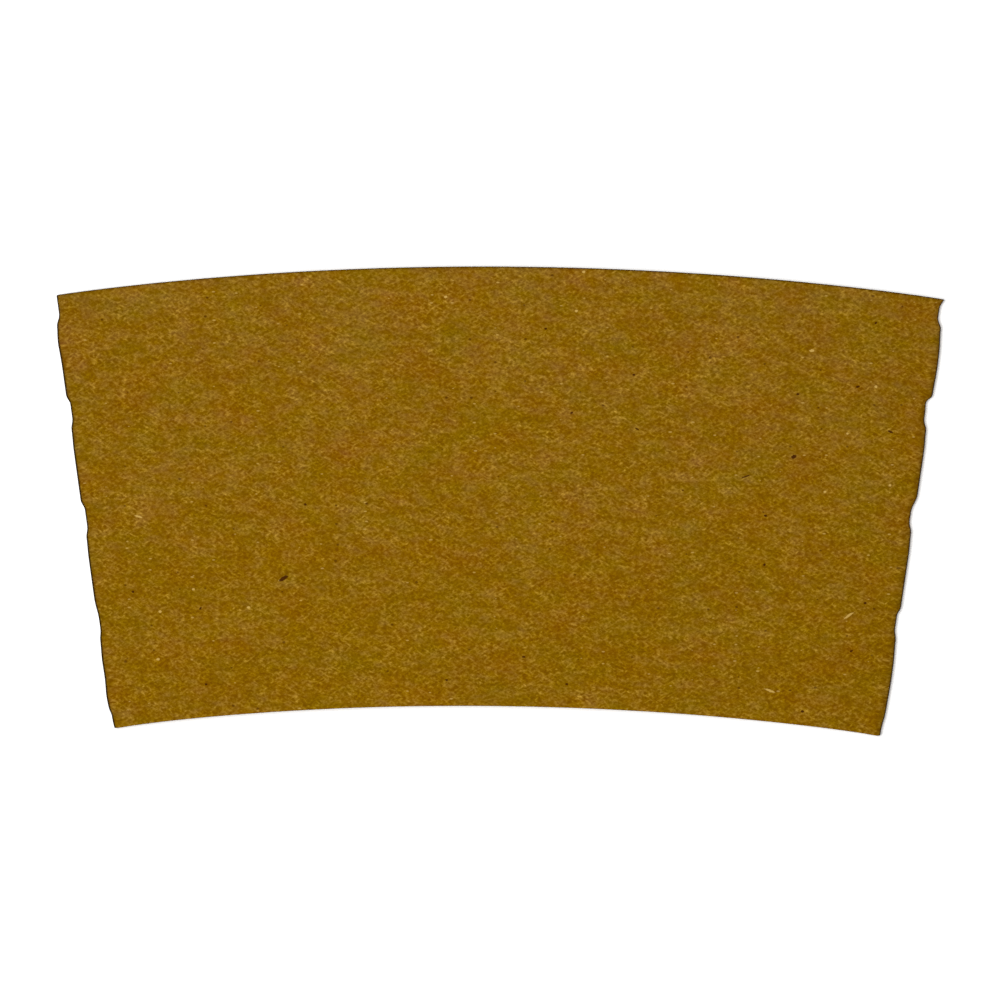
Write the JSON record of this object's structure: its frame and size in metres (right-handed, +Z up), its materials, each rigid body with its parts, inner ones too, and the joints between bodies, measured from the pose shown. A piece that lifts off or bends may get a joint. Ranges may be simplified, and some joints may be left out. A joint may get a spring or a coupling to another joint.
{
  "type": "coffee cup sleeve",
  "caption": "Tapered kraft board band that slips over a hot paper cup, folded flat with a glued lap seam on its back.",
  "frame": {"origin": "middle of the bounding box, on the surface that the back panel lies on", "axes": "+X from the left fold to the right fold, +Y towards the wide rim, +Z up through the front panel"},
  "size_m": [0.1256, 0.0656, 0.0042],
  "materials": {
    "kraft_board": "uncoated brown recycled kraft board, matt, with fine fibres and a few dark specks"
  },
  "bodies": {
    "root": {"sleeve": "kraft_board"}
  },
  "joints": []
}
